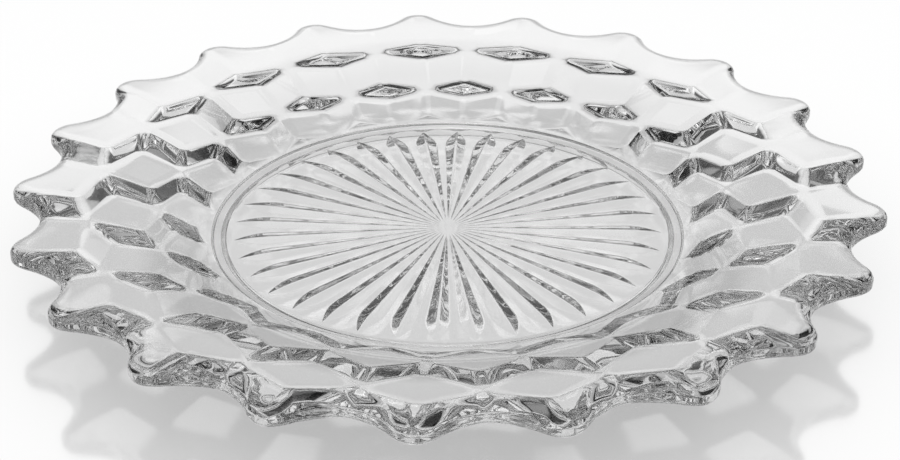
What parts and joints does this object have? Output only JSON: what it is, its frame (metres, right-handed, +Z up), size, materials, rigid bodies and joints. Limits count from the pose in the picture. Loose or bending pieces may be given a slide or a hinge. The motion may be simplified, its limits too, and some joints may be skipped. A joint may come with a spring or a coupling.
{
  "type": "underplate",
  "caption": "Round scalloped underplate of clear pressed glass, with a smooth shallow well on top and tumbling-block facets, a foot ring and a sunburst underneath.",
  "frame": {"origin": "centre of the foot ring's resting plane, on the plate's axis", "axes": "+Z up along the axis, out of the well; +Y through one point of the rim; +X to the right of it"},
  "size_m": [0.1776, 0.177, 0.0159],
  "materials": {
    "clear_glass": "clear colourless glass, fire-polished and smooth"
  },
  "bodies": {
    "root": {"plate": "clear_glass"}
  },
  "joints": []
}
